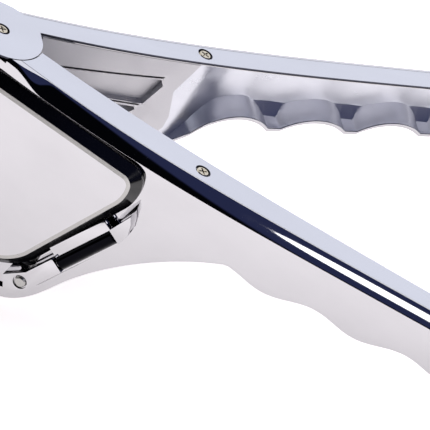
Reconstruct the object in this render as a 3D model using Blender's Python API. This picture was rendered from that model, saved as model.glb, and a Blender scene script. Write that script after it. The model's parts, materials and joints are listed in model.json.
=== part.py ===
"""Garlic press: two cast arms on one pivot, a hopper with a sieve and door, and a swinging plunger.

Outlines are in millimetres in each arm's own frame: the pivot axis is Z, X runs to the
handle tip and the two arms meet on one curve when closed. MM turns them into metres.
"""
import math

import bmesh
import bpy
from mathutils import Matrix, Vector

MM = 0.001

# Driving dimensions, millimetres and degrees
FINGER_PITCH = 22.0
FIRST_TOOTH = 80.6
FRONT_SCALLOP = 2.15
REAR_TOOTH = 82.9
REAR_TOOTH_HALF = 1.8
REAR_ARCH = 3.0
LAST_TOOTH = 147.3
FRONT_TAPER = (-20.5, 0.048)
REAR_TAPER = (-22.95, 0.056)
FRONT_FLARE_END = 70.5
HEAD_END = 60.0
TIP_X = 165.0
HALF_OPENING = 20.15
REST_TILT = 18.39
REST_ROLL = 2.42
HEAD_DEPTH = 55.0
SHOULDER = 2.5
WALL = 1.3
HEAD_WALL = 2.4
GAP = 0.3
HALF_GAP = GAP / 2
PLATE = 1.2
SEAT = -PLATE - GAP
FLANGE = SEAT - 1.0
BARREL_RADIUS = 8.07
DISC_RADIUS = 10.0
SCREW_HEAD = 1.55
SCREW_SHANK = 0.7
SCREW_BORE = 1.0
BOSS_RADIUS = 2.3
PLATE_SCREW_X = (54.6, 150.0)
PIN_RADIUS = 2.5
BUSH_INNER = 2.8
BUSH_OUTER = 3.3
BARREL_BORE = 3.6
CUP_X = (9.0, 37.0)
CUP_Z = (-46.0, -20.0)
CUP_Y = (-2.7, 7.5)
CUP_WALL = 1.2
SIEVE_Y = (-4.0, -3.0)
PLUNGER_PIN = (24.0, 2.0, -33.0)
PLUNGER_PIN_RADIUS = 1.2
DOOR_ORIGIN_Y = -8.0
DOOR_SLOPE = 2.86
DOOR_THICK = 3.2
HINGE_START = (47.1, -20.8)
HINGE_END = (39.8, -35.6)
HINGE_Y = -1.9
HINGE_RADIUS = 1.8
HINGE_PIN_RADIUS = 0.7
STRAP_HIGH = -HEAD_DEPTH - GAP
STRAP_LOW = STRAP_HIGH - PLATE
STRAP_SCREWS = ((15.0, 6.0), (26.0, 7.0))
LUG_HALF = 2.0
KNUCKLE_HALF = 2.6
CARRIER_SCREW_Z = (-39.6, -26.4)
RIVET = (34.6, -3.9, -45.0)
HINGE_LENGTH = math.dist(HINGE_START, HINGE_END)
OUTWARD = Matrix.Rotation(math.radians(-90), 4, "X")
INWARD = Matrix.Rotation(math.radians(90), 4, "X")


def clear_scene():
    for old in list(bpy.data.objects):
        bpy.data.objects.remove(old, do_unlink=True)


def make_collection(name):
    made = bpy.data.collections.new(name)
    bpy.context.scene.collection.children.link(made)
    return made


def make_empty(name, parent=None, location=(0, 0, 0), rotation=(0, 0, 0)):
    empty = bpy.data.objects.new(name, None)
    parts.objects.link(empty)
    empty.parent = parent
    empty.location = Vector(location) * MM
    empty.rotation_euler = [math.radians(angle) for angle in rotation]
    return empty


def make_material(name, colour, roughness, metallic=1.0):
    material = bpy.data.materials.new(name)
    material.use_nodes = True
    shader = material.node_tree.nodes["Principled BSDF"]
    shader.inputs["Base Color"].default_value = (*colour, 1.0)
    shader.inputs["Roughness"].default_value = roughness
    shader.inputs["Metallic"].default_value = metallic
    return material


# Shape of the arms

def mating(x):
    """Curve on which the closed arms meet."""
    u = x / 100
    return 1.72 + 19.43 * u ** 2 - 5.69 * u ** 3


def front_width(x):
    return 4.2 + 4.0 / (1 + ((x - 38) / 70) ** 2)


def rear_width(x):
    u = x / 100
    return 5.41 + 0.85 * u - 0.58 * u ** 2


def front_outer(x):
    return mating(x) - front_width(x) - SHOULDER


def rear_outer(x):
    return mating(x) + rear_width(x) + SHOULDER


def front_under(x):
    """Underside of the front handle: it tapers to the tip, with one soft wave for each finger."""
    turn = 2 * math.pi * (x - FIRST_TOOTH) / FINGER_PITCH
    return FRONT_TAPER[0] + FRONT_TAPER[1] * x + FRONT_SCALLOP * 0.5 * (1 - math.cos(turn))


def rear_under(x):
    """Underside of the rear handle: round arches for the fingers between narrow flat teeth."""
    along = abs((x - REAR_TOOTH) % FINGER_PITCH - FINGER_PITCH / 2)
    span = FINGER_PITCH / 2 - REAR_TOOTH_HALF
    radius = (span ** 2 + REAR_ARCH ** 2) / (2 * REAR_ARCH)
    rise = math.sqrt(radius ** 2 - along ** 2) - radius + REAR_ARCH if along < span else 0.0
    return REAR_TAPER[0] + REAR_TAPER[1] * x + rise


def steps(start, end, count):
    return [start + (end - start) * i / count for i in range(count + 1)]


def arc(centre, radius, start, end, count):
    return [(centre[0] + radius * math.cos(math.radians(a)), centre[1] + radius * math.sin(math.radians(a)))
            for a in steps(start, end, count)]


def cubic(p0, p1, p2, p3, count):
    points = []
    for t in steps(0.0, 1.0, count):
        s = 1 - t
        weights = (s ** 3, 3 * s * s * t, 3 * s * t * t, t ** 3)
        points.append(tuple(sum(w * p[k] for w, p in zip(weights, (p0, p1, p2, p3))) for k in (0, 1)))
    return points


def rounded(corners, count=5):
    """Closed outline through (x, z, radius) corners, each corner cut by a quarter-like curve."""
    points = []
    for i, (x, z, radius) in enumerate(corners):
        here = Vector((x, z))
        before = (Vector(corners[i - 1][:2]) - here).normalized()
        after = (Vector(corners[(i + 1) % len(corners)][:2]) - here).normalized()
        start = here + before * radius
        end = here + after * radius
        inner = 0.55
        points += cubic(start, start.lerp(here, inner), end.lerp(here, inner), end, count)
    return points


def inset(points, distance):
    """Outline moved inwards, for an outline that runs counter-clockwise."""
    moved = []
    for i, point in enumerate(points):
        before = Vector(points[i - 1])
        after = Vector(points[(i + 1) % len(points)])
        along = (after - before).normalized()
        normal = Vector((-along.y, along.x))
        moved.append(tuple(Vector(point) + normal * distance))
    return moved


def side_outline(side, left, top):
    """Side view (x, z) of an arm, counter-clockwise from its lower left corner."""
    under = front_under if side == "front" else rear_under
    head = [(left, -HEAD_DEPTH), (24.0, -HEAD_DEPTH)]
    head += cubic((26, -HEAD_DEPTH), (33, -HEAD_DEPTH), (37, -52), (41, -44), 8)
    if side == "front":
        join = FRONT_FLARE_END
        flare = cubic((41, -44), (46.5, -33), (58, -21), (join, under(join)), 12)[1:]
    else:
        join = REAR_TOOTH - REAR_TOOTH_HALF
        flare = cubic((41, -44), (45, -36), (51, -29.6), (57.2, -25.4), 8)[1:]
        flare += cubic((61.3, -22.4), (65.6, -15.7), (74.8, -13.5), (join, under(join)), 12)
    grip = [(x, under(x)) for x in steps(join + 1, LAST_TOOTH, 72)]
    low = under(LAST_TOOTH)
    nose = cubic((LAST_TOOTH + 2, low), (TIP_X - 3, low + 0.6), (TIP_X, low + 3), (TIP_X, top - 3), 8)
    return head + flare + grip + nose + [(TIP_X, top), (left, top)]


# Mesh helpers: each adds one closed solid, in millimetres, to a bmesh

def add_prism(bm, outline, low, high, flat="xy"):
    """Extrude a closed outline. flat is the plane it lies in; low and high are the other axis."""
    bottom = []
    for a, b in outline:
        place = (a, b, low) if flat == "xy" else (a, low, b)
        bottom.append(bm.verts.new(place))
    face = bm.faces.new(bottom)
    shift = Vector((0, 0, high - low)) if flat == "xy" else Vector((0, high - low, 0))
    out = bmesh.ops.extrude_face_region(bm, geom=[face])
    top = [v for v in out["geom"] if isinstance(v, bmesh.types.BMVert)]
    bmesh.ops.translate(bm, vec=shift, verts=top)
    return bottom + top


def add_box(bm, low, high):
    centre = (Vector(low) + Vector(high)) / 2
    size = Vector(high) - Vector(low)
    place = Matrix.Translation(centre) @ Matrix.Diagonal((*size, 1))
    return bmesh.ops.create_cube(bm, size=1.0, matrix=place)["verts"]


def add_rod(bm, start, end, radius, segments=24):
    start = Vector(start)
    end = Vector(end)
    turn = (end - start).to_track_quat("Z", "Y").to_matrix().to_4x4()
    place = Matrix.Translation((start + end) / 2) @ turn
    made = bmesh.ops.create_cone(bm, cap_ends=True, segments=segments, radius1=radius, radius2=radius,
                                 depth=(end - start).length, matrix=place)
    return made["verts"]


def add_turned(bm, profile, place, segments=24):
    """Spin a closed (radius, height) profile fully round its own Z and move it by place."""
    verts = [bm.verts.new((r, 0, z)) for r, z in profile]
    edges = [bm.edges.new((a, b)) for a, b in zip(verts, verts[1:])]
    if profile[0][0] > 0:
        edges.append(bm.edges.new((verts[-1], verts[0])))
    before = set(bm.verts) - set(verts)
    bmesh.ops.spin(bm, geom=verts + edges, cent=(0, 0, 0), axis=(0, 0, 1), dvec=(0, 0, 0),
                   angle=2 * math.pi, steps=segments, use_merge=True)
    new = [v for v in bm.verts if v not in before]
    bmesh.ops.remove_doubles(bm, verts=new, dist=1e-4)
    new = [v for v in bm.verts if v not in before]
    bmesh.ops.transform(bm, matrix=place, verts=new)


def add_stepped_hole(bm, place, depth, step, bore=None, head=None):
    """Cutter for a screw: bore for the shank from -depth, wider from -step for the head."""
    bore = bore or SCREW_BORE
    head = head or SCREW_HEAD + GAP
    profile = [(0, -depth), (bore, -depth), (bore, -step), (head, -step), (head, 4.0), (0, 4.0)]
    add_turned(bm, profile, place, 24)


def upright(x, y, z, flip=False):
    turn = Matrix.Rotation(math.pi, 4, "X") if flip else Matrix.Identity(4)
    return Matrix.Translation((x, y, z)) @ turn


def finish_mesh(bm, name, origin=(0, 0, 0)):
    bmesh.ops.translate(bm, vec=-Vector(origin), verts=bm.verts)
    bmesh.ops.scale(bm, vec=(MM, MM, MM), verts=bm.verts)
    bmesh.ops.recalc_face_normals(bm, faces=bm.faces)
    mesh = bpy.data.meshes.new(name)
    bm.to_mesh(mesh)
    bm.free()
    return mesh


def make_part(bm, name, material, parent, origin=(0, 0, 0), smooth=True):
    mesh = finish_mesh(bm, name, origin)
    mesh.materials.append(material)
    if smooth:
        mesh.shade_smooth()
        mesh.set_sharp_from_angle(angle=math.radians(30))
    part = bpy.data.objects.new(name, mesh)
    parts.objects.link(part)
    part.parent = parent
    part.location = Vector(origin) * MM
    return part


def make_cutter(bm, name, parent):
    cutter = bpy.data.objects.new(name, finish_mesh(bm, name))
    cutters.objects.link(cutter)
    cutter.parent = parent
    cutter.hide_render = True
    cutter.display_type = "WIRE"
    return cutter


def combine(part, other, operation):
    modifier = part.modifiers.new(other.name, "BOOLEAN")
    modifier.object = other
    modifier.operation = operation
    modifier.solver = "EXACT"


def new_mesh():
    return bmesh.new()


# Arms

def arm_top_view(side):
    """Top view (x, y) of an arm and how many of its points lie on the outer edge."""
    if side == "front":
        edge = [(x, front_outer(x)) for x in steps(TIP_X, 0, 60)]
        edge += arc((0, 0), BARREL_RADIUS, -90, -346, 32)[1:]
        meet = [(x, mating(x) - HALF_GAP) for x in steps(8.3, TIP_X, 60)]
        return edge + meet, len(edge)
    edge = [(x, rear_outer(x)) for x in steps(TIP_X, 3, 60)]
    clear = BARREL_RADIUS + 0.53
    ring = arc((0, 0), clear, 69.6, 12.6, 10)
    meet = [(x, mating(x) + HALF_GAP) for x in steps(8.7, TIP_X, 60)]
    return edge + ring + meet, len(edge)


def make_arm_body(side, parent):
    """Top view of an arm as a solid whose upper outer edge is a round shoulder."""
    bm = new_mesh()
    outline, edge_count = arm_top_view(side)
    add_prism(bm, outline, -HEAD_DEPTH - 5, 0.0)
    outer = {(round(x, 3), round(y, 3)) for x, y in outline[:edge_count]}
    rim = []
    for edge in bm.edges:
        ends = [v.co for v in edge.verts]
        if all(abs(p.z) < 0.01 and (round(p.x, 3), round(p.y, 3)) in outer for p in ends):
            rim.append(edge)
    bmesh.ops.bevel(bm, geom=rim, offset=SHOULDER, segments=5, profile=0.5, affect="EDGES",
                    material=-1, clamp_overlap=False)
    return make_cutter(bm, side + "_top_view", parent)


def make_cavity(side, parent, left):
    """Hollow of an arm, open on the face where the arms meet."""
    reach = 30.0
    sign = 1 if side == "front" else -1
    outer = front_outer if side == "front" else rear_outer
    grip_wall = WALL if side == "front" else WALL + 2.0
    head_wall = HEAD_WALL if side == "front" else WALL
    bm = new_mesh()
    head = [(x, outer(x) + sign * head_wall) for x in steps(left, HEAD_END, 20)]
    grip = [(x, outer(x) + sign * grip_wall) for x in steps(HEAD_END + 3, TIP_X - 2, 40)]
    far = [(TIP_X - 2, outer(TIP_X) + sign * reach), (left, outer(left) + sign * reach)]
    add_prism(bm, head + grip + far, -HEAD_DEPTH - 5, FLANGE)
    cavity = make_cutter(bm, side + "_cavity", parent)
    bm = new_mesh()
    add_prism(bm, inset(side_outline(side, left - WALL, FLANGE + WALL), WALL), -40, 70, flat="xz")
    combine(cavity, make_cutter(bm, side + "_cavity_side", parent), "INTERSECT")
    return cavity


def screw_spot(side, x):
    if side == "front":
        return mating(x) - 0.55 * front_width(x)
    return mating(x) + 0.58 * rear_width(x)


def make_bosses(side, parent):
    bm = new_mesh()
    for x in PLATE_SCREW_X:
        y = screw_spot(side, x)
        add_rod(bm, (x, y, -8.0), (x, y, SEAT - 0.5), BOSS_RADIUS)
    return make_cutter(bm, side + "_bosses", parent)


def make_front_shell():
    bm = new_mesh()
    add_prism(bm, side_outline("front", -BARREL_RADIUS - 1, 0.0), -40, 70, flat="xz")
    shell = make_part(bm, "front_arm_shell", chrome, front)
    combine(shell, make_arm_body("front", front), "INTERSECT")
    combine(shell, make_cavity("front", front, CUP_X[0] - 0.7), "DIFFERENCE")
    combine(shell, make_bosses("front", front), "UNION")
    bm = new_mesh()
    add_prism(bm, plate_outline("front", 0.15), SEAT, 2.0)
    seat = make_cutter(bm, "front_plate_seat", front)
    combine(seat, make_disc_room("front_shell"), "UNION")
    combine(shell, seat, "DIFFERENCE")
    bm = new_mesh()
    for x in PLATE_SCREW_X:
        y = screw_spot("front", x)
        add_rod(bm, (x, y, -7.0), (x, y, 1.0), SCREW_BORE, 16)
    add_rod(bm, (0, 0, -HEAD_DEPTH - 3), (0, 0, 3), BARREL_BORE, 32)
    combine(shell, make_cutter(bm, "front_bores", front), "DIFFERENCE")
    bm = new_mesh()
    add_prism(bm, rounded([(11, -44, 3), (35, -44, 3), (35, -22, 3), (11, -22, 3)]), -30, 5, flat="xz")
    combine(shell, make_cutter(bm, "sieve_window", front), "DIFFERENCE")
    bm = new_mesh()
    add_prism(bm, door_recess_outline(), -20, GAP, flat="xz")
    combine(shell, make_cutter(bm, "door_recess", door_frame), "DIFFERENCE")


def make_rear_shell():
    bm = new_mesh()
    add_prism(bm, side_outline("rear", -BARREL_RADIUS - 1, 0.0), -40, 70, flat="xz")
    shell = make_part(bm, "rear_arm_shell", chrome, rear)
    combine(shell, make_arm_body("rear", rear), "INTERSECT")
    combine(shell, make_cavity("rear", rear, CUP_X[0] - 0.4), "DIFFERENCE")
    combine(shell, make_bosses("rear", rear), "UNION")
    bm = new_mesh()
    for x, y in STRAP_SCREWS:
        add_rod(bm, (x, y, -HEAD_DEPTH + 0.5), (x, y, -HEAD_DEPTH + 5), BOSS_RADIUS)
    combine(shell, make_cutter(bm, "strap_bosses", rear), "UNION")
    bm = new_mesh()
    add_prism(bm, plate_outline("rear", 0.15), SEAT, 2.0)
    combine(shell, make_cutter(bm, "rear_plate_seat", rear), "DIFFERENCE")
    bm = new_mesh()
    for x in PLATE_SCREW_X:
        y = screw_spot("rear", x)
        add_rod(bm, (x, y, -7.0), (x, y, 1.0), SCREW_BORE, 16)
    for x, y in STRAP_SCREWS:
        add_rod(bm, (x, y, -HEAD_DEPTH - 2), (x, y, -HEAD_DEPTH + 4), SCREW_BORE, 16)
    for z in CARRIER_SCREW_Z:
        add_stepped_hole(bm, Matrix.Translation((PLUNGER_PIN[0], 10.9, z)) @ OUTWARD, 6.0, 0.75)
    combine(shell, make_cutter(bm, "rear_bores", rear), "DIFFERENCE")


# Side plates and their screws

def plate_outline(side, grow=0.0):
    """Side plate in top view, counter-clockwise; grow is the extra room of its seat."""
    end = TIP_X - 4.0 + grow
    if side == "front":
        round_end = BARREL_RADIUS - SHOULDER + grow
        low = [(x, front_outer(x) + SHOULDER - grow) for x in steps(0, end, 60)]
        high = [(x, mating(x) - HALF_GAP + 4 * grow) for x in steps(end, 6.2, 60)]
        return low + high + arc((0, 0), round_end, 18, 262, 24)
    low = [(x, mating(x) + HALF_GAP - 4 * grow) for x in steps(DISC_RADIUS, end, 60)]
    high = [(x, rear_outer(x) - SHOULDER + grow) for x in steps(end, 7, 60)]
    return low + high + arc((0, 0), DISC_RADIUS + 3 * grow, 50, 349, 40)


def make_disc_room(name):
    """Round room in the front arm for the disc at the end of the rear side plate."""
    bm = new_mesh()
    add_rod(bm, (0, 0, SEAT), (0, 0, 2.0), DISC_RADIUS + GAP, 48)
    return make_cutter(bm, name + "_disc_room", front)


def make_side_plate(side, material, parent):
    bm = new_mesh()
    add_prism(bm, plate_outline(side), -PLATE, 0.0)
    plate = make_part(bm, side + "_side_plate", material, parent)
    bm = new_mesh()
    spots = [(x, screw_spot(side, x)) for x in PLATE_SCREW_X]
    for x, y in spots:
        add_stepped_hole(bm, upright(x, y, 0.0), 3.0, 0.75)
    if side == "rear":
        add_rod(bm, (0, 0, -3.0), (0, 0, 1.0), SCREW_HEAD + GAP, 32)
    combine(plate, make_cutter(bm, side + "_plate_holes", parent), "DIFFERENCE")
    if side == "front":
        combine(plate, make_disc_room("front_plate"), "DIFFERENCE")


def cross_outline(reach, half):
    """Plus sign turned by 45 degrees, counter-clockwise."""
    points = []
    for quarter in range(4):
        turn = Matrix.Rotation(math.radians(90 * quarter + 45), 2)
        points += [tuple(turn @ Vector(p)) for p in ((reach, -half), (reach, half), (half, half))]
    return points


def make_screw(name, place, length, material, parent):
    """Small crosshead screw: place holds the top of its head, with the shank running down."""
    bm = new_mesh()
    profile = [(0, 0), (SCREW_HEAD - 0.25, 0), (SCREW_HEAD, -0.25), (SCREW_HEAD, -0.62),
               (SCREW_SHANK, -0.62), (SCREW_SHANK, -length), (0, -length)]
    add_turned(bm, profile, Matrix.Identity(4), 24)
    screw = make_part(bm, name, material, parent)
    screw.location = place.translation * MM
    screw.rotation_euler = place.to_euler()
    bm = new_mesh()
    add_prism(bm, cross_outline(1.0, 0.17), -0.35, 1.0)
    combine(screw, make_cutter(bm, name + "_cross", screw), "DIFFERENCE")


def make_screws(name, places, length, material, parent):
    for number, place in enumerate(places, start=1):
        make_screw(f"{name}_{number}", place, length, material, parent)


# Pivot

def make_pivot():
    bm = new_mesh()
    add_rod(bm, (0, 0, -HEAD_DEPTH), (0, 0, SEAT), PIN_RADIUS, 32)
    pin = make_part(bm, "pivot_pin", steel, front)
    bm = new_mesh()
    add_rod(bm, (0, 0, -9), (0, 0, 2), SCREW_BORE, 16)
    add_rod(bm, (0, 0, -HEAD_DEPTH - 2), (0, 0, -HEAD_DEPTH + 9), SCREW_BORE, 16)
    combine(pin, make_cutter(bm, "pivot_pin_bores", front), "DIFFERENCE")
    for name, low, high in (("upper", -13.0, -3.0), ("lower", -HEAD_DEPTH + 1, -HEAD_DEPTH + 11)):
        bm = new_mesh()
        profile = [(BUSH_INNER, low), (BUSH_OUTER, low), (BUSH_OUTER, high), (BUSH_INNER, high)]
        add_turned(bm, profile, Matrix.Identity(4), 32)
        make_part(bm, name + "_pivot_bush", nylon, front)
    places = [upright(0, 0, -0.05), upright(0, 0, STRAP_LOW + 0.05, flip=True)]
    make_screws("pivot_screw", places, 7.0, screw_steel, front)


def make_strap():
    """Lower pivot strap: a disc under the front head, screwed to the rear shell."""
    bm = new_mesh()
    outline = arc((0, 0), 8.0, 100, 280, 24) + arc((27.0, 6.8), 3.6, 290, 450, 12)
    add_prism(bm, outline, STRAP_LOW, STRAP_HIGH)
    strap = make_part(bm, "lower_pivot_strap", chrome, rear)
    bm = new_mesh()
    add_rod(bm, (0, 0, STRAP_LOW - 1), (0, 0, STRAP_HIGH + 1), SCREW_HEAD + GAP, 32)
    for x, y in STRAP_SCREWS:
        add_stepped_hole(bm, upright(x, y, STRAP_LOW, flip=True), 3.0, 0.75)
    combine(strap, make_cutter(bm, "strap_holes", rear), "DIFFERENCE")
    places = [upright(x, y, STRAP_LOW + 0.05, flip=True) for x, y in STRAP_SCREWS]
    make_screws("strap_screw", places, 4.8, screw_steel, rear)


# Rear inner block

def make_inner_block():
    """Cast filler at the head of the rear arm, with two sunk panels."""
    bm = new_mesh()
    front_face = [(x, mating(x) + 0.5) for x in steps(11.0, 55.0, 20)]
    back_face = [(x, mating(x) + 3.6) for x in steps(55.0, 11.0, 20)]
    add_prism(bm, front_face + back_face, -40, 0)
    block = make_part(bm, "rear_inner_block", satin, rear)
    bm = new_mesh()
    outline = [(11.5, -19.4), (39.5, -19.4), (39.5, -26.0), (49.5, -26.0), (53.4, -21.0), (53.2, -17.4),
               (50.5, -10.0), (53.2, -2.8), (11.5, -2.8)]
    add_prism(bm, outline, -10, 40, flat="xz")
    combine(block, make_cutter(bm, "block_side", rear), "INTERSECT")
    bm = new_mesh()
    add_rod(bm, (PLATE_SCREW_X[0], screw_spot("rear", PLATE_SCREW_X[0]), -8),
            (PLATE_SCREW_X[0], screw_spot("rear", PLATE_SCREW_X[0]), 2), BOSS_RADIUS + GAP)
    combine(block, make_cutter(bm, "block_boss_room", rear), "DIFFERENCE")
    bm = new_mesh()
    face = [(x, mating(x) - 3) for x in steps(5.0, HEAD_END, 20)]
    floor = [(x, mating(x) + 1.5) for x in steps(HEAD_END, 5.0, 20)]
    add_prism(bm, face + floor, -40, 5)
    pockets = make_cutter(bm, "block_pockets", rear)
    bm = new_mesh()
    add_prism(bm, [(14, -14.6), (44.6, -14.6), (47.0, -8.8), (45.6, -7.0), (14, -9.2)], -20, 40, flat="xz")
    add_prism(bm, [(42.0, -23.0), (44.2, -23.0), (46.6, -17.4), (42.0, -17.4)], -20, 40, flat="xz")
    combine(pockets, make_cutter(bm, "block_pocket_side", rear), "INTERSECT")
    combine(block, pockets, "DIFFERENCE")


# Hopper, sieve and plunger

def make_cup():
    bm = new_mesh()
    (x0, x1), (z0, z1) = CUP_X, CUP_Z
    add_prism(bm, rounded([(x0, z0, 4), (x1, z0, 4), (x1, z1, 4), (x0, z1, 4)]), *CUP_Y, flat="xz")
    cup = make_part(bm, "hopper_cup", steel, front)
    bm = new_mesh()
    w = CUP_WALL
    inner = [(x0 + w, z0 + w, 3), (x1 - w, z0 + w, 3), (x1 - w, z1 - w, 3), (x0 + w, z1 - w, 3)]
    add_prism(bm, rounded(inner), CUP_Y[0] - 2, CUP_Y[1] + 2, flat="xz")
    combine(cup, make_cutter(bm, "cup_inside", front), "DIFFERENCE")


def make_sieve():
    bm = new_mesh()
    (x0, x1), (z0, z1) = CUP_X, CUP_Z
    add_prism(bm, rounded([(x0, z0, 4), (x1, z0, 4), (x1, z1, 4), (x0, z1, 4)]), *SIEVE_Y, flat="xz")
    sieve = make_part(bm, "sieve_plate", steel, front)
    bm = new_mesh()
    for x in steps(13.4, 32.6, 5):
        for z in steps(-42.0, -24.0, 5):
            add_rod(bm, (x, SIEVE_Y[0] - 1, z), (x, SIEVE_Y[1] + 1, z), 1.1, 10)
    combine(sieve, make_cutter(bm, "sieve_holes", front), "DIFFERENCE")


def make_carrier():
    """Two lugs that hold the plunger pin, screwed inside the rear head."""
    px, py, pz = PLUNGER_PIN
    bm = new_mesh()
    add_box(bm, (px - 3.5, 5.8, pz - 8.2), (px + 3.5, 8.9, pz + 8.2))
    carrier = make_part(bm, "plunger_carrier", satin, rear)
    bm = new_mesh()
    for side in (-1, 1):
        ends = sorted((pz + side * (KNUCKLE_HALF + GAP), pz + side * (KNUCKLE_HALF + GAP + 2.2)))
        outline = arc((px, py), LUG_HALF, 180, 360, 12) + [(px + LUG_HALF, 7.0), (px - LUG_HALF, 7.0)]
        add_prism(bm, outline, *ends)
    combine(carrier, make_cutter(bm, "carrier_lugs", rear), "UNION")
    bm = new_mesh()
    add_rod(bm, (px, py, pz - 9), (px, py, pz + 9), PLUNGER_PIN_RADIUS + GAP, 20)
    for z in CARRIER_SCREW_Z:
        add_rod(bm, (px, 6.4, z), (px, 12, z), SCREW_BORE, 16)
    combine(carrier, make_cutter(bm, "carrier_bores", rear), "DIFFERENCE")
    places = [Matrix.Translation((px, 10.85, z)) @ OUTWARD for z in CARRIER_SCREW_Z]
    make_screws("carrier_screw", places, 4.2, screw_steel, rear)


def make_plunger():
    """Pressing plate on its own pin; built square to the sieve and hung at the pin."""
    px, py, pz = 0.0, 0.0, PLUNGER_PIN[2]
    bm = new_mesh()
    corners = [(-10.2, pz - 10.9, 3), (11.4, pz - 10.9, 3), (11.4, pz + 10.9, 3), (-10.2, pz + 10.9, 3)]
    add_prism(bm, rounded(corners), -4.6, -2.3, flat="xz")
    plunger = make_part(bm, "plunger", satin, plunger_hinge)
    bm = new_mesh()
    outline = arc((px, py), 2.3, 0, 180, 14) + [(-2.3, -3.4), (2.3, -3.4)]
    add_prism(bm, outline, pz - KNUCKLE_HALF, pz + KNUCKLE_HALF)
    combine(plunger, make_cutter(bm, "plunger_knuckle", plunger_hinge), "UNION")
    bm = new_mesh()
    add_rod(bm, (px, py, pz - 6), (px, py, pz + 6), PLUNGER_PIN_RADIUS + GAP, 20)
    combine(plunger, make_cutter(bm, "plunger_bore", plunger_hinge), "DIFFERENCE")


def make_plunger_pin():
    px, py, pz = PLUNGER_PIN
    bm = new_mesh()
    add_rod(bm, (px, py, pz - 6.8), (px, py, pz + 6.8), PLUNGER_PIN_RADIUS)
    make_part(bm, "plunger_pin", steel, rear)
    inner = PLUNGER_PIN_RADIUS + GAP
    for number, low in enumerate((pz - 6.3, pz + 5.8), start=1):
        bm = new_mesh()
        ring = [(inner, low), (2.0, low), (2.0, low + 0.5), (inner, low + 0.5)]
        add_turned(bm, ring, Matrix.Translation((px, py, 0)), 24)
        make_part(bm, f"plunger_pin_clip_{number}", steel, rear)


# Door and its hinge, in the door's own frame: y = 0 is its inner face, -y is outwards

def door_outline():
    return rounded([(1.6, -50.5, 6), (20.0, -50.5, 5), (33.0, -42.6, 4), (47.0, -11.5, 3),
                    (45.8, -3.9, 4), (1.6, -3.9, 5)])


def door_recess_outline():
    return rounded([(1.0, -51.9, 6), (31.0, -51.9, 4), (37.5, -46.4, 3), (50.4, -20.4, 4),
                    (48.5, -12.0, 3.5), (46.4, -3.3, 4.5), (1.0, -3.3, 5)])


def hinge_point(along, across=0.0):
    """Point on the door plane: along the hinge from its upper end, and across it."""
    start = Vector(HINGE_START)
    run = (Vector(HINGE_END) - start).normalized()
    side = Vector((-run.y, run.x))
    return start + run * along + side * across


def hinge_rod(bm, start, end, radius, segments=24):
    a = hinge_point(start)
    b = hinge_point(end)
    add_rod(bm, (a.x, HINGE_Y, a.y), (b.x, HINGE_Y, b.y), radius, segments)


def make_door():
    origin = (HINGE_START[0], HINGE_Y, HINGE_START[1])
    bm = new_mesh()
    add_prism(bm, door_outline(), -DOOR_THICK, 0.0, flat="xz")
    rim = [e for e in bm.edges if all(abs(v.co.y + DOOR_THICK) < 0.01 for v in e.verts)]
    bmesh.ops.bevel(bm, geom=rim, offset=2.0, segments=4, profile=0.5, affect="EDGES", material=-1,
                    clamp_overlap=False)
    door = make_part(bm, "hopper_door", chrome, door_frame, origin)
    bm = new_mesh()
    corners = [hinge_point(0.2), hinge_point(HINGE_LENGTH - 0.2), hinge_point(HINGE_LENGTH - 0.2, -5.2),
               hinge_point(0.2, -5.2)]
    add_prism(bm, [tuple(c) for c in corners], -2.6, -1.2, flat="xz")
    combine(door, make_cutter(bm, "door_leaf", door_frame), "UNION")
    bm = new_mesh()
    hinge_rod(bm, 0.2, HINGE_LENGTH - 0.2, HINGE_RADIUS)
    combine(door, make_cutter(bm, "door_knuckle", door_frame), "UNION")
    bm = new_mesh()
    hinge_rod(bm, -3, HINGE_LENGTH + 3, HINGE_PIN_RADIUS + GAP, 16)
    combine(door, make_cutter(bm, "door_knuckle_bore", door_frame), "DIFFERENCE")
    bm = new_mesh()
    thumb_notch = [(-1.0, -30.5), (4.2, -30.5), (4.2, -22.5), (-1.0, -22.5)]
    add_prism(bm, thumb_notch, -DOOR_THICK - 1, -1.6, flat="xz")
    combine(door, make_cutter(bm, "door_thumb_notch", door_frame), "DIFFERENCE")
    return door


def make_hinge_mounts():
    bm = new_mesh()
    hinge_rod(bm, -2.2, HINGE_LENGTH + 2.6, HINGE_PIN_RADIUS, 16)
    make_part(bm, "door_hinge_pin", steel, door_frame)
    bore = new_mesh()
    hinge_rod(bore, -4.0, HINGE_LENGTH + 4, HINGE_PIN_RADIUS + GAP, 16)
    pin_bore = make_cutter(bore, "hinge_lug_bore", door_frame)
    bm = new_mesh()
    corners = [tuple(hinge_point(-0.15, -1.9)), tuple(hinge_point(-0.15, 1.8)), (49.6, -18.2), (48.9, -15.4),
               (47.9, -13.6)]
    add_prism(bm, corners, -3.7, 0.0, flat="xz")
    combine(make_part(bm, "upper_hinge_lug", chrome, door_frame), pin_bore, "DIFFERENCE")
    bm = new_mesh()
    far = HINGE_LENGTH + 0.15
    corners = [tuple(hinge_point(far, 1.8)), tuple(hinge_point(far, -1.9)), (34.6, -41.9), (30.4, -45.9),
               (32.3, -49.6), (36.6, -46.2)]
    add_prism(bm, corners, -3.7, 0.0, flat="xz")
    strap = make_part(bm, "lower_hinge_strap", chrome, door_frame)
    combine(strap, pin_bore, "DIFFERENCE")
    bm = new_mesh()
    rivet_place = Matrix.Translation(RIVET) @ INWARD
    add_stepped_hole(bm, rivet_place, 6.0, 0.75, 0.8 + GAP, 1.4 + GAP)
    combine(strap, make_cutter(bm, "hinge_rivet_hole", door_frame), "DIFFERENCE")
    bm = new_mesh()
    profile = [(0, 0), (1.0, 0), (1.4, -0.3), (1.4, -0.5), (0.8, -0.5), (0.8, -3.4), (0, -3.4)]
    add_turned(bm, profile, rivet_place, 24)
    make_part(bm, "hinge_rivet", steel, door_frame)


# Scene

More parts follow.
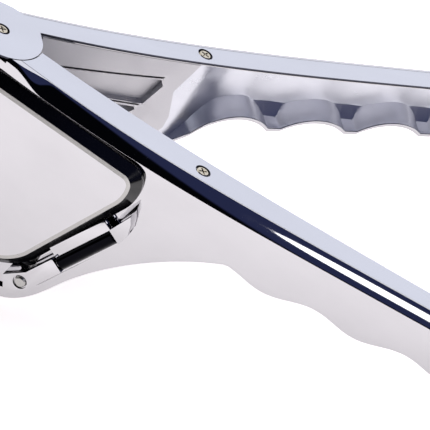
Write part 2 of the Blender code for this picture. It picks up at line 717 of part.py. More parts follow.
clear_scene()
parts = make_collection("garlic_press")
cutters = make_collection("cutters")
chrome = make_material("chrome_plate", (0.80, 0.80, 0.83), 0.08)
plate_chrome = make_material("side_plate_chrome", (0.74, 0.75, 0.82), 0.16)
satin = make_material("satin_zinc", (0.47, 0.47, 0.49), 0.45)
steel = make_material("stainless_steel", (0.62, 0.61, 0.60), 0.22)
screw_steel = make_material("nickel_screw", (0.68, 0.64, 0.56), 0.25)
nylon = make_material("nylon_bush", (0.75, 0.74, 0.70), 0.55, 0.0)

press = make_empty("press", rotation=(REST_ROLL, REST_TILT, 0))
front = make_empty("front_arm", press, rotation=(0, 0, -HALF_OPENING))
rear = make_empty("rear_arm", press, rotation=(0, 0, HALF_OPENING))
door_frame = make_empty("door_frame", front, (0, DOOR_ORIGIN_Y, 0), (0, 0, DOOR_SLOPE))
plunger_hinge = make_empty("plunger_hinge", rear, (*PLUNGER_PIN[:2], 0), (0, 0, -2 * HALF_OPENING))

make_front_shell()
make_rear_shell()
make_side_plate("front", plate_chrome, front)
make_side_plate("rear", plate_chrome, rear)
front_tops = [upright(x, screw_spot("front", x), -0.05) for x in PLATE_SCREW_X]
rear_tops = [upright(x, screw_spot("rear", x), -0.05) for x in PLATE_SCREW_X]
make_screws("front_plate_screw", front_tops, 6.0, screw_steel, front)
make_screws("rear_plate_screw", rear_tops, 6.0, screw_steel, rear)
make_pivot()
make_strap()
make_inner_block()
make_cup()
make_sieve()
make_carrier()
make_plunger()
make_plunger_pin()
make_door()
make_hinge_mounts()


def settle():
    """Stand the press on z = 0, centred over the origin."""
    bpy.context.view_layer.update()
    depsgraph = bpy.context.evaluated_depsgraph_get()
    points = []
    for part in parts.objects:
        if part.type == "MESH":
            shape = part.evaluated_get(depsgraph)
            points += [part.matrix_world @ v.co for v in shape.data.vertices]
    low = [min(p[k] for p in points) for k in range(3)]
    high = [max(p[k] for p in points) for k in range(3)]
    press.location = (-(low[0] + high[0]) / 2, -(low[1] + high[1]) / 2, -low[2])
    bpy.context.view_layer.update()


settle()
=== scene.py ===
import json
import math
import bmesh
import bpy
from mathutils import Matrix, Vector

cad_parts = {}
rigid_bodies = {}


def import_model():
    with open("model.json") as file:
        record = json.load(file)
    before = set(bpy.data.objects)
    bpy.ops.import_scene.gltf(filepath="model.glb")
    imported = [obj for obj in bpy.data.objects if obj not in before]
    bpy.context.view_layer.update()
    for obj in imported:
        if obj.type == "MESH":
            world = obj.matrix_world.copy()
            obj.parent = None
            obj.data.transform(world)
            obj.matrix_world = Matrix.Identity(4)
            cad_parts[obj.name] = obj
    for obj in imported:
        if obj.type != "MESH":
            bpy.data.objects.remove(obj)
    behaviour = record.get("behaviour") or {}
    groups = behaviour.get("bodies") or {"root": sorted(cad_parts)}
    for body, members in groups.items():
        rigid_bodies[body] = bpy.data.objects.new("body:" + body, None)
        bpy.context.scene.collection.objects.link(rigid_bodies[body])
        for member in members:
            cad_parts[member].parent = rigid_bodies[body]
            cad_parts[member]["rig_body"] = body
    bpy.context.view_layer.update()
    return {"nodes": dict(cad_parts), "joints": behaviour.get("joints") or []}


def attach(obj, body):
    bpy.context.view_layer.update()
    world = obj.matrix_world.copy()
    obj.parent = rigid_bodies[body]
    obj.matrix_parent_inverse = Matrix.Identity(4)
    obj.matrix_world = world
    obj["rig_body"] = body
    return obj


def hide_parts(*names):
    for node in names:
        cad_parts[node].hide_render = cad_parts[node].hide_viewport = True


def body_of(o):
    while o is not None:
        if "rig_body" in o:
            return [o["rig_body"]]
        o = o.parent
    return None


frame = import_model()
print("frame loaded")

# Lengths below are in millimetres in each arm's own frame: Z is the pivot axis,
# X runs to the handle tip, and the closed arms meet on one curve.
mm = 0.001
stance = {"roll": 2.42, "tilt": 18.39, "halfOpening": 20.15}
joints = {joint["name"]: joint for joint in frame["joints"]}


def turned(degrees, axis):
    return Matrix.Rotation(math.radians(degrees), 4, axis)


pivotPoint = Vector(joints["arm_swing"]["pos_m"])
pressFrame = Matrix.Translation(pivotPoint) @ turned(stance["tilt"], "Y") @ turned(stance["roll"], "X")
pressFrame = pressFrame @ Matrix.Scale(mm, 4)
frontFrame = pressFrame @ turned(-stance["halfOpening"], "Z")
rearFrame = pressFrame @ turned(stance["halfOpening"], "Z")
doorFrame = frontFrame @ Matrix.Translation((0, -8, 0)) @ turned(2.86, "Z")


# Studio: a dark room in front, light cards behind, and a floor that glows

view = {
    "target": (0.053452, -0.018617, -0.02668),  # metres from the pivot
    "azimuth": -1.70,
    "elevation": 32.60,
    "roll": 10.84,
    "distance": 0.9364,
    "lens": 354.2,
}
studio = {
    "navy": "#30365A",
    "black": "#05060A",
    "blackSide": -88,  # azimuth of the darker half of the room
    "blackBelow": (0.06, 0.11),  # sine of the elevation where the black fades into the room
    "cards": [  # azimuth, elevation, radius and soft edge in degrees, then colour and power
        (-125, 35, 38, 6, "#FFFFFF", 1.2),
        (158, 24, 25, 2, "#EEF0FA", 1.42),  # the side plates mirror this one
        (134, 53, 8, 2, "#FFFFFF", 2.0),  # bright line along the front arm's shoulder
    ],
    "floor": "#F5F1F1",
    "floorGlow": 0.84,
    "floorSize": 3.0,  # metres
    "floorDrop": 0.0004,
}


def hexColour(code):  # sRGB hex to linear
    parts = [int(code[i:i + 2], 16) / 255 for i in (1, 3, 5)]
    return tuple(p / 12.92 if p <= 0.04045 else ((p + 0.055) / 1.055) ** 2.4 for p in parts) + (1.0,)


def addNode(tree, kind, settings=None, links=None):
    node = tree.nodes.new(kind)
    for key, value in (settings or {}).items():
        if isinstance(key, int) or key in node.inputs:
            node.inputs[key].default_value = value
        else:
            setattr(node, key, value)
    for key, source in (links or {}).items():
        tree.links.new(source, node.inputs[key])
    return node


def direction(azimuth, elevation):
    a = math.radians(azimuth)
    e = math.radians(elevation)
    return Vector((math.sin(a) * math.cos(e), -math.cos(a) * math.cos(e), math.sin(e)))


def makeCamera():
    data = bpy.data.cameras.new("camera")
    data.lens = view["lens"]
    data.clip_start = 0.05
    data.clip_end = 20.0
    camera = bpy.data.objects.new("camera", data)
    bpy.context.scene.collection.objects.link(camera)
    back = direction(view["azimuth"], view["elevation"])
    aim = (-back).to_track_quat("-Z", "Y") @ turned(view["roll"], "Z").to_quaternion()
    camera.rotation_mode = "QUATERNION"
    camera.rotation_quaternion = aim
    camera.location = pivotPoint + Vector(view["target"]) + back * view["distance"]
    bpy.context.scene.camera = camera


def makeWorld():
    world = bpy.data.worlds.new("studio")
    bpy.context.scene.world = world
    world.use_nodes = True
    tree = world.node_tree
    tree.nodes.clear()
    coords = addNode(tree, "ShaderNodeTexCoord").outputs["Generated"]
    split = addNode(tree, "ShaderNodeSeparateXYZ", links={"Vector": coords})
    black = hexColour(studio["black"])
    side = addNode(tree, "ShaderNodeVectorMath",
                   {"operation": "DOT_PRODUCT", 1: direction(studio["blackSide"], 0)}, {0: coords})
    left = addNode(tree, "ShaderNodeMapRange", {"From Min": -0.02, "From Max": 0.02},
                   {"Value": side.outputs["Value"]})
    bottom, top = studio["blackBelow"]
    low = addNode(tree, "ShaderNodeMapRange", {"From Min": top, "From Max": bottom},
                  {"Value": split.outputs["Z"]})
    room = addNode(tree, "ShaderNodeMix", {"data_type": "RGBA", 6: hexColour(studio["navy"]), 7: black},
                   {0: left.outputs["Result"]})
    room = addNode(tree, "ShaderNodeMix", {"data_type": "RGBA", 7: black},
                   {0: low.outputs["Result"], 6: room.outputs[2]})
    for azimuth, elevation, radius, soft, colour, power in studio["cards"]:
        facing = addNode(tree, "ShaderNodeVectorMath",
                         {"operation": "DOT_PRODUCT", 1: direction(azimuth, elevation)}, {0: coords})
        outer, inner = [math.cos(math.radians(radius + s)) for s in (soft, -soft)]
        mask = addNode(tree, "ShaderNodeMapRange", {"From Min": outer, "From Max": inner},
                       {"Value": facing.outputs["Value"]})
        lit = tuple(c * power for c in hexColour(colour)[:3]) + (1.0,)
        room = addNode(tree, "ShaderNodeMix", {"data_type": "RGBA", 7: lit},
                       {0: mask.outputs["Result"], 6: room.outputs[2]})
    shown = addNode(tree, "ShaderNodeBackground", {"Strength": 1.0}, {"Color": room.outputs[2]})
    addNode(tree, "ShaderNodeOutputWorld", links={"Surface": shown.outputs["Background"]})


def addLight(name, azimuth, elevation, distance, size, power, target=Vector(), mirrored=False):
    data = bpy.data.lights.new(name, "AREA")
    data.shape = "DISK"
    data.size = size
    data.energy = power
    light = bpy.data.objects.new(name, data)
    bpy.context.scene.collection.objects.link(light)
    way = direction(azimuth, elevation)
    light.location = target + way * distance
    light.visible_glossy = mirrored  # a mirrored lamp shows in the polish and lights nothing else
    light.visible_diffuse = not mirrored
    light.rotation_euler = way.to_track_quat("Z", "Y").to_euler()


def makeFloor():
    bm = bmesh.new()
    bmesh.ops.create_grid(bm, x_segments=1, y_segments=1, size=studio["floorSize"])
    mesh = bpy.data.meshes.new("floor")
    bm.to_mesh(mesh)
    bm.free()
    floor = bpy.data.objects.new("floor", mesh)
    floor.location.z = -studio["floorDrop"]
    bpy.context.scene.collection.objects.link(floor)
    material = bpy.data.materials.new("matte white paper floor")
    material.use_nodes = True
    shader = material.node_tree.nodes["Principled BSDF"]
    shader.inputs["Base Color"].default_value = hexColour(studio["floor"])
    shader.inputs["Roughness"].default_value = 0.9
    shader.inputs["Specular IOR Level"].default_value = 0.0
    shader.inputs["Emission Color"].default_value = hexColour(studio["floor"])
    shader.inputs["Emission Strength"].default_value = studio["floorGlow"]
    mesh.materials.append(material)


makeCamera()
makeWorld()
makeFloor()
# azimuth and elevation in degrees, distance and size in metres, power in watts
addLight("softKey", 150, 40, 1.4, 0.8, 8)
addLight("softFill", -120, 45, 1.4, 0.8, 5)
addLight("streakCard", 15, 30, 0.3, 0.10, 0.07, frontFrame @ Vector((110, 10, -1)), True)
bpy.context.scene.view_settings.view_transform = "Standard"
print("studio made")


# Materials

# Object coordinates in an arm's own frame, where one unit is a stretch in mm along each axis
def patternSpace(tree, place, stretch):
    coords = addNode(tree, "ShaderNodeTexCoord")
    spot, turn, _ = place.decompose()
    settings = {"vector_type": "TEXTURE", "Location": spot, "Rotation": turn.to_euler(),
                "Scale": tuple(s * mm for s in stretch)}
    mapping = addNode(tree, "ShaderNodeMapping", settings, {"Vector": coords.outputs["Object"]})
    return mapping.outputs["Vector"]


# A metal: broad patches change its tone, and a fine grain changes its roughness and height
def metalMaterial(name, finish, place):
    material = bpy.data.materials.new(name)
    material.use_nodes = True
    tree = material.node_tree
    shader = tree.nodes["Principled BSDF"]
    shader.inputs["Metallic"].default_value = 1.0
    broad = addNode(tree, "ShaderNodeTexNoise", {"Scale": 1.0, "Detail": 3.0},
                    {"Vector": patternSpace(tree, place, finish["patch"])})
    grain = addNode(tree, "ShaderNodeTexNoise", {"Scale": 1.0, "Detail": 5.0, "Roughness": 0.6},
                    {"Vector": patternSpace(tree, place, finish["grain"])})
    tones = {"data_type": "RGBA", 6: hexColour(finish["dark"]), 7: hexColour(finish["light"])}
    tone = addNode(tree, "ShaderNodeMix", tones, {0: broad.outputs["Fac"]})
    tree.links.new(tone.outputs[2], shader.inputs["Base Color"])
    low, high = finish["roughness"]
    mixed = addNode(tree, "ShaderNodeMath", {"operation": "MULTIPLY"},
                    {0: broad.outputs["Fac"], 1: grain.outputs["Fac"]})
    spread = {"From Min": 0.1, "From Max": 0.45, "To Min": low, "To Max": high}
    rough = addNode(tree, "ShaderNodeMapRange", spread, {"Value": mixed.outputs["Value"]})
    tree.links.new(rough.outputs["Result"], shader.inputs["Roughness"])
    bump = addNode(tree, "ShaderNodeBump",
                   {"Strength": finish["strength"], "Distance": finish["height"] * mm},
                   {"Height": grain.outputs["Fac"]})
    tree.links.new(bump.outputs["Normal"], shader.inputs["Normal"])
    return material


# Patch, grain and height are millimetres along the arm, across it and up. Grain finer than about
# 0.3 mm would be lost at this distance, so brushing and grit are drawn that coarse.

# Polished chrome plate: a clean mirror whose reflections waver a little with the buffing
chromeFinish = {"dark": "#BFBEC1", "light": "#C9C8CB", "patch": (14, 14, 9), "grain": (3.5, 3.5, 3.5),
                "roughness": (0.03, 0.07), "strength": 0.02, "height": 0.05}
# Buffed chrome on flat sheet: one even tone, with faint lines along the arm
plateFinish = {"dark": "#BCBDC2", "light": "#C6C7CD", "patch": (30, 12, 12), "grain": (6, 0.5, 0.5),
               "roughness": (0.10, 0.18), "strength": 0.03, "height": 0.02}
# Die-cast zinc under thin chrome: a broad pale sheen instead of clear reflections
satinFinish = {"dark": "#CDCFD6", "light": "#E2E3EA", "patch": (9, 5, 5), "grain": (2.4, 0.35, 0.35),
               "roughness": (0.26, 0.42), "strength": 0.16, "height": 0.06}
# Bead-blasted zinc: flat matt grey with fine grit
blastFinish = {"dark": "#CAC9CC", "light": "#D8D7DA", "patch": (7, 7, 7), "grain": (0.22, 0.22, 0.22),
               "roughness": (0.50, 0.70), "strength": 0.35, "height": 0.03}
# Brushed stainless steel: highlights drawn out along the brushing
steelFinish = {"dark": "#A8A7A5", "light": "#B9B8B6", "patch": (8, 8, 8), "grain": (5, 0.25, 0.25),
               "roughness": (0.18, 0.32), "strength": 0.08, "height": 0.03}
# Nickel plate on a small pressed head: warm, bright and slightly uneven
screwFinish = {"dark": "#A89F8C", "light": "#D6CEBB", "patch": (1.5, 1.5, 1.5), "grain": (0.4, 0.4, 0.4),
               "roughness": (0.12, 0.30), "strength": 0.10, "height": 0.03}
# Side plate edges: painted shade and painted dark reflection that outline each side plate, with fine streaks
# across the thickness
plateEdgeShadeFinish = {"dark": "#34353E", "light": "#4C4D57", "patch": (6, 6, 6), "grain": (0.3, 0.3, 1.2),
               "roughness": (0.25, 0.40), "strength": 0.20, "height": 0.03}
# Hinge knuckle: nearly black with a sharp, weak gloss
blackFinish = {"dark": "#07070A", "light": "#101015", "patch": (6, 6, 6), "grain": (2, 0.5, 0.5),
               "roughness": (0.08, 0.16), "strength": 0.05, "height": 0.03}

frontChrome = metalMaterial("polished chrome plate, front", chromeFinish, frontFrame)
rearChrome = metalMaterial("polished chrome plate, rear", chromeFinish, rearFrame)
frontPlate = metalMaterial("buffed chrome side plate, front", plateFinish, frontFrame)
rearPlate = metalMaterial("buffed chrome side plate, rear", plateFinish, rearFrame)
frontZinc = metalMaterial("die-cast zinc, front", satinFinish, frontFrame)
rearZinc = metalMaterial("die-cast zinc, rear", satinFinish, rearFrame)
blastZinc = metalMaterial("bead-blasted zinc", blastFinish, rearFrame)
steel = metalMaterial("brushed stainless steel", steelFinish, frontFrame)
screwNickel = metalMaterial("nickel-plated screw", screwFinish, frontFrame)
# the side plate edge material is painted shade and painted dark reflection, not a real torn edge
plateEdgePaintedShade = metalMaterial("sheared steel edge", plateEdgeShadeFinish, frontFrame)
nearBlackKnuckle = metalMaterial("black oxide steel", blackFinish, doorFrame)


# A non-metal: one slow ripple changes its tone, gloss and height
def mouldedMaterial(name, finish, place):
    material = bpy.data.materials.new(name)
    material.use_nodes = True
    tree = material.node_tree
    shader = tree.nodes["Principled BSDF"]
    shader.inputs["Coat Weight"].default_value = finish["coat"]
    shader.inputs["Coat Roughness"].default_value = 0.05
    ripple = addNode(tree, "ShaderNodeTexNoise", {"Scale": 1.0, "Detail": 2.0},
                     {"Vector": patternSpace(tree, place, finish["patch"])})
    tones = {"data_type": "RGBA", 6: hexColour(finish["dark"]), 7: hexColour(finish["light"])}
    tone = addNode(tree, "ShaderNodeMix", tones, {0: ripple.outputs["Fac"]})
    tree.links.new(tone.outputs[2], shader.inputs["Base Color"])
    low, high = finish["roughness"]
    rough = addNode(tree, "ShaderNodeMapRange", {"To Min": low, "To Max": high},
                    {"Value": ripple.outputs["Fac"]})
    tree.links.new(rough.outputs["Result"], shader.inputs["Roughness"])
    bump = addNode(tree, "ShaderNodeBump", {"Strength": 0.1, "Distance": finish["height"] * mm},
                   {"Height": ripple.outputs["Fac"]})
    tree.links.new(bump.outputs["Normal"], shader.inputs["Normal"])
    return material


# Door rim: deep black as a painted dark reflection, under a clear wet gloss
doorRimShadeFinish = {"dark": "#050507", "light": "#0C0C10", "patch": (4, 4, 4), "roughness": (0.10, 0.22),
                "coat": 0.3, "height": 0.05}
# Moulded nylon: milky white with a dull surface
nylonFinish = {"dark": "#D9D6CC", "light": "#E6E3DA", "patch": (2, 2, 2), "roughness": (0.45, 0.60),
               "coat": 0.0, "height": 0.03}
# the door rim's black is a painted dark reflection, not a real enamel
doorRimPaintedDark = mouldedMaterial("black enamel", doorRimShadeFinish, doorFrame)
nylon = mouldedMaterial("moulded nylon", nylonFinish, frontFrame)
print("materials made")


# Shared shape of the arms

arms = {
    "mating": (1.72, 19.43, -5.69),  # start, square and cube terms per 100 mm
    "gap": 0.15,  # from the mating curve to each arm
    "seatGap": 0.15,  # from the side plate's edge to its seat
    "pitch": 22.0,  # from finger to finger
    "tip": 165.0,
    "tipRound": 4.0,
    "hollowEnd": (162.0, 163.2),
    "discRoom": 10.3,
    "discRoomDepth": 1.5,
}


def mating(x):  # seen from above, the curve on which the closed arms meet
    u = x / 100
    start, square, cube = arms["mating"]
    return start + square * u ** 2 + cube * u ** 3


def matingSlope(x):
    u = x / 100
    _, square, cube = arms["mating"]
    return (2 * square * u + 3 * cube * u ** 2) / 100


def tipInset(x):  # how far the flank turns in at the rounded tip
    over = max(0.0, x - arms["tip"] + arms["tipRound"])
    return arms["tipRound"] - math.sqrt(max(0.0, arms["tipRound"] ** 2 - over ** 2))


def cubic(p0, p1, p2, p3, count):
    points = []
    for i in range(count + 1):
        t = i / count
        s = 1 - t
        weights = (s ** 3, 3 * s * s * t, 3 * s * t * t, t ** 3)
        points.append(tuple(sum(w * p[k] for w, p in zip(weights, (p0, p1, p2, p3))) for k in (0, 1)))
    return points


def arc(centre, radius, start, end, count):
    turns = [math.radians(start + (end - start) * i / count) for i in range(count + 1)]
    return [(centre[0] + radius * math.cos(t), centre[1] + radius * math.sin(t)) for t in turns]


def heightOn(points, x):  # height at x of a left-to-right chain of (x, z) points
    for (x0, z0), (x1, z1) in zip(points, points[1:]):
        if x <= x1:
            return z0 + (z1 - z0) * max(0.0, (x - x0) / (x1 - x0))
    return points[-1][1]


def blendStep(low, high, x):
    t = min(1.0, max(0.0, (x - low) / (high - low)))
    return t * t * (3 - 2 * t)


# Skin over closed rings: the first is extruded from ring to ring, and inner columns take material 1
def loft(bm, rings, inner):
    verts = [bm.verts.new(p) for p in rings[0]]
    count = len(verts)
    edges = [bm.edges.new((verts[i - 1], verts[i])) for i in range(count)]
    caps = list(edges)
    for ring in rings[1:]:
        column = {vert: i for i, vert in enumerate(verts)}
        made = bmesh.ops.extrude_edge_only(bm, edges=edges)["geom"]
        fresh = [None] * count
        for vert in [g for g in made if isinstance(g, bmesh.types.BMVert)]:
            for edge in vert.link_edges:
                other = edge.other_vert(vert)
                if other in column:
                    fresh[column[other]] = vert
        for face in [g for g in made if isinstance(g, bmesh.types.BMFace)]:
            seen = sorted(column[v] for v in face.verts if v in column)
            first = seen[1] if seen == [0, count - 1] else seen[0]
            face.material_index = 1 if first in inner else 0
        for vert, place in zip(fresh, ring):
            vert.co = place
        verts = fresh
        ringVerts = set(fresh)
        edges = [g for g in made if isinstance(g, bmesh.types.BMEdge) and ringVerts.issuperset(g.verts)]
    bmesh.ops.holes_fill(bm, edges=caps + edges)


def finishPiece(bm, name, materials, body, place, replaced=(), sharp=35):
    bmesh.ops.remove_doubles(bm, verts=bm.verts, dist=1e-4)
    bmesh.ops.transform(bm, matrix=place, verts=bm.verts)
    bmesh.ops.recalc_face_normals(bm, faces=bm.faces)
    mesh = bpy.data.meshes.new(name)
    bm.to_mesh(mesh)
    bm.free()
    stored = mesh.attributes.get("custom_normal")
    if stored:  # the node's own normals don't fit the reshaped copy
        mesh.attributes.remove(stored)
    for material in materials:
        mesh.materials.append(material)
    mesh.shade_smooth()
    mesh.set_sharp_from_angle(angle=math.radians(sharp))
    piece = bpy.data.objects.new(name, mesh)
    bpy.context.scene.collection.objects.link(piece)
    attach(piece, body)
    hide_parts(*replaced)
    return piece


# Front arm

frontArm = {
    "shoulder": 2.5,  # width of the rounded shoulder beside the side plate
    "pivotShoulder": 0.7,
    "shoulderGrows": (8, 17),
    "arcs": ((0.8, 0, 20, 3), (8.1, 20, 45, 6), (0.8, 45, 86, 5)),  # radius, start, end, steps
    "flank": 4.2,
    "bulge": (4.0, 38, 70),  # height, centre and half width of the wide part
    "wall": 1.3,
    "headWall": 2.4,
    "headEnd": (56, 64),  # the wall thins between these
    "soft": 1.0,  # round of the lower edge
    "minDepth": 3.2,
    "plateSeat": 0.75,  # depth of the seat under the side plate
    "flange": 1.0,  # thickness below that seat
    "firstTooth": 80.6,
    "lastTooth": 147.3,
    "scallop": 2.15,  # height of the waves
    "taper": (-20.5, 0.048),  # height at the pivot and slope of the underside
    "headCurve": ((26, -55), (33, -55), (37, -52), (41, -44)),
    "flareCurve": ((41, -44), (46.5, -33), (58, -21)),
    "flareEnd": 70.5,
    "recess": [(1.0, -51.9, 6), (31.0, -51.9, 4), (37.5, -46.4, 3), (50.4, -20.4, 4),
               (48.5, -12.0, 3.5), (46.4, -3.3, 4.5), (1.0, -3.3, 5)],  # x, z, corner radius
    "recessFloor": 0.3,  # past the door's inner face
    "window": [(11, -44, 3), (35, -44, 3), (35, -22, 3), (11, -22, 3)],
}
barrel = {"bore": 3.6, "radius": 8.07, "bottom": -55.0, "top": -1.5, "lowRound": 0.8, "highRound": 0.3}


def frontOuter(x):  # flank seen from above, with the shoulder
    height, centre, width = frontArm["bulge"]
    bulge = height / (1 + ((x - centre) / width) ** 2)
    return mating(x) - frontArm["flank"] - bulge - frontArm["shoulder"]


def frontUnder(x):
    turn = 2 * math.pi * (x - frontArm["firstTooth"]) / arms["pitch"]
    start, slope = frontArm["taper"]
    return start + slope * x + frontArm["scallop"] * 0.5 * (1 - math.cos(turn))


def frontUnderside():
    s = frontArm
    start = s["headCurve"][0]
    chain = [(-9.0, start[1]), (24.0, start[1])]
    chain += cubic(*s["headCurve"], 16)
    end = s["flareEnd"]
    chain += cubic(*s["flareCurve"], (end, frontUnder(end)), 24)[1:]
    step = 0.5
    count = int((s["lastTooth"] - end) / step)
    chain += [(end + i * step, frontUnder(end + i * step)) for i in range(1, count + 1)]
    last = s["lastTooth"]
    low = frontUnder(last)
    tip = arms["tip"]
    return chain + cubic((last + 2, low), (tip - 3, low + 0.6), (tip, low + 3), (tip + 0.01, -3), 14)


# Steps in from the flank and up to the flat top, as (inwards, upwards), for a full shoulder
def shoulderProfile():
    points = [(0.0, 0.0)]
    for radius, start, end, count in frontArm["arcs"]:
        y, z = points[-1]
        first = math.radians(start)
        for turn in (math.radians(start + (end - start) * i / count) for i in range(1, count + 1)):
            points.append((y + radius * (math.cos(first) - math.cos(turn)),
                           z + radius * (math.sin(turn) - math.sin(first))))
    return points


shoulderSteps = shoulderProfile()


def frontSection(x, underside):
    s = frontArm
    outer = frontOuter(x) + tipInset(x)
    meet = mating(x) - arms["gap"]
    low = min(heightOn(underside, x), -s["minDepth"])
    grown = s["pivotShoulder"] + (s["shoulder"] - s["pivotShoulder"]) * blendStep(*s["shoulderGrows"], x)
    size = grown / s["shoulder"]
    top = -shoulderSteps[-1][1] * size
    soft = min(s["soft"], (-low + top) * 0.4)
    head = 1 - blendStep(*s["headEnd"], x)
    wall = s["wall"] + (s["headWall"] - s["wall"]) * head
    hollow = 1 - blendStep(*arms["hollowEnd"], x)
    back = meet + (outer + wall - meet) * hollow
    floor = low + (wall if head < 0.5 else s["wall"])
    floor = min(floor, -s["plateSeat"] - s["flange"] - 0.2)
    ring = arc((outer + soft, low + soft), soft, 270, 180, 8)
    start = low + soft
    ring += [(outer, start + (top - start) * t) for t in (0.02, 0.25, 0.5, 0.75, 0.98)]
    ring += [(outer + inwards * size, top + upwards * size) for inwards, upwards in shoulderSteps]
    seat = -s["plateSeat"]
    under = seat - s["flange"]
    plateEdge = outer + s["shoulder"] - arms["seatGap"]
    ring += [(plateEdge, 0.0), (plateEdge, seat), (meet, seat)]
    innerStart = len(ring)
    corner, bend = 0.8 * hollow, 0.25 * hollow  # inner corners are rounded where the arm is hollow
    ring += [(meet, under), (back + corner, under), (back + bend, under - bend), (back, under - corner)]
    ring += [(back, under + (floor - under) * t) for t in (0.35, 0.7)]
    ring += [(back, floor + corner), (back + bend, floor + bend), (back + corner, floor)]
    innerEnd = len(ring)
    ring += [(meet, floor), (meet, low + 0.3), (meet - 0.3, low)]
    return [(x, y, z) for y, z in ring], set(range(innerStart, innerEnd))


def bakeCut(piece, cutters):  # cuts the piece and keeps only the result
    for cutter in cutters:
        modifier = piece.modifiers.new("cut", "BOOLEAN")
        modifier.object = cutter
        modifier.solver = "EXACT"
    bpy.context.view_layer.update()
    shape = bpy.data.meshes.new_from_object(piece.evaluated_get(bpy.context.evaluated_depsgraph_get()))
    piece.modifiers.clear()
    piece.data = shape
    for cutter in cutters:
        bpy.data.objects.remove(cutter)


def prism(bm, outline, low, high):  # an (x, z) outline extruded along Y
    face = bm.faces.new([bm.verts.new((x, low, z)) for x, z in outline])
    out = bmesh.ops.extrude_face_region(bm, geom=[face])["geom"]
    fresh = [g for g in out if isinstance(g, bmesh.types.BMVert)]
    bmesh.ops.translate(bm, vec=(0, high - low, 0), verts=fresh)


def breakEdges(bm, width):  # a small round on every sharp edge
    keen = [e for e in bm.edges if e.is_manifold and e.calc_face_angle(0) > math.radians(28)]
    bmesh.ops.bevel(bm, geom=keen, offset=width, segments=2, profile=0.5, affect="EDGES", material=-1,
                    clamp_overlap=True)


def makeCutter(outline, low, high, place):
    bm = bmesh.new()
    prism(bm, outline, low, high)
    return keepCutter(bm, place)


def keepCutter(bm, place):
    bmesh.ops.transform(bm, matrix=place, verts=bm.verts)
    bmesh.ops.recalc_face_normals(bm, faces=bm.faces)
    mesh = bpy.data.meshes.new("cutter")
    bm.to_mesh(mesh)
    bm.free()
    cutter = bpy.data.objects.new("cutter", mesh)
    bpy.context.scene.collection.objects.link(cutter)
    return cutter


def rounded(corners, count=8):
    points = []
    for i, (x, z, radius) in enumerate(corners):
        here = Vector((x, z))
        before = (Vector(corners[i - 1][:2]) - here).normalized()
        after = (Vector(corners[(i + 1) % len(corners)][:2]) - here).normalized()
        start = here + before * radius
        end = here + after * radius
        points += cubic(start, start.lerp(here, 0.55), end.lerp(here, 0.55), end, count)
    return points


def discRoom():  # round room for the flush disc of the rear side plate
    bm = bmesh.new()
    depth = 4.0
    bmesh.ops.create_cone(bm, cap_ends=True, segments=96, radius1=arms["discRoom"],
                          radius2=arms["discRoom"], depth=depth)
    bmesh.ops.translate(bm, vec=(0, 0, depth / 2 - arms["discRoomDepth"]), verts=bm.verts)
    return keepCutter(bm, frontFrame)


def spinClosed(bm, profile, segments):
    verts = [bm.verts.new((radius, 0, z)) for radius, z in profile]
    edges = [bm.edges.new((verts[i - 1], verts[i])) for i in range(len(verts))]
    bmesh.ops.spin(bm, geom=verts + edges, cent=(0, 0, 0), axis=(0, 0, 1), dvec=(0, 0, 0),
                   angle=2 * math.pi, steps=segments, use_merge=True)


def makeBarrel():
    bm = bmesh.new()
    s = barrel
    lowCentre = (s["radius"] - s["lowRound"], s["bottom"] + s["lowRound"])
    highCentre = (s["radius"] - s["highRound"], s["top"] - s["highRound"])
    profile = [(s["bore"], s["bottom"])] + arc(lowCentre, s["lowRound"], -90, 0, 6)
    profile += arc(highCentre, s["highRound"], 0, 90, 4) + [(s["bore"], s["top"])]
    spinClosed(bm, profile, 96)
    finishPiece(bm, "pivotBarrel", [frontChrome], "front_arm", frontFrame)


def makeFrontArm():
    underside = frontUnderside()
    stations = [float(i) for i in range(0, 160)] + [160 + i * 0.25 for i in range(0, 21)]
    rings = [frontSection(x, underside) for x in stations]
    bm = bmesh.new()
    loft(bm, [ring for ring, _ in rings], rings[0][1])
    arm = finishPiece(bm, "frontArmBody", [frontChrome, frontZinc], "front_arm", frontFrame,
                      ("front_arm_shell",))
    recess = makeCutter(rounded(frontArm["recess"]), -20, frontArm["recessFloor"], doorFrame)
    window = makeCutter(rounded(frontArm["window"]), -30, 5, frontFrame)
    bakeCut(arm, [recess, window, discRoom()])
    arm.data.shade_smooth()
    arm.data.set_sharp_from_angle(angle=math.radians(30))


makeFrontArm()
makeBarrel()
print("front arm made")


# Rear arm

rearArm = {
    "shoulder": 2.5,
    "flank": (5.41, 0.85, -0.58),  # from the mating curve: start, slope and square per 100 mm
    "barrelRoom": 8.6,
    "minDepth": 1.6,
    "hollowStart": (6.6, 7.8),
    "headEnd": 50,
    "ramp": (53, 68),  # the web rises from the inner block
    "web": (0.9, 5.8),  # its distance from the mating curve, before and after the ramp
    "undulation": 0.38,  # the web waves in and out with the fingers
    "waveStart": 90.0,
    "tooth": 82.9,
    "toothLine": (81.3, -17.3, 0.056),  # x, height there, slope
    "flat": 1.8,  # half width of a tooth
    "arch": 3.0,
    "archesFrom": 81.2,
    "shelf": 3.3,  # height of the web's foot above the teeth
    "notch": 2.4,  # how far the web steps in below the foot
    "rim": 1.1,  # thickness of the rim along the underside
    "lip": 0.9,
    "lipRound": 0.3,
    "seat": -0.75,  # under the side plate
    "flange": -0.95,
    "headCurve": ((26, -53.9), (33, -53.9), (37, -51), (41, -43)),
    "neckCurve": ((41, -43), (45, -35), (51, -28.5), (57.2, -24.3)),
    "firstArch": ((61.3, -21.3), (65.6, -14.6), (74.8, -12.4), (81.1, -17.31)),
}


def rearOuter(x):  # flank seen from above, with the shoulder
    u = x / 100
    start, slope, square = rearArm["flank"]
    return mating(x) + start + slope * u + square * u ** 2 + rearArm["shoulder"]


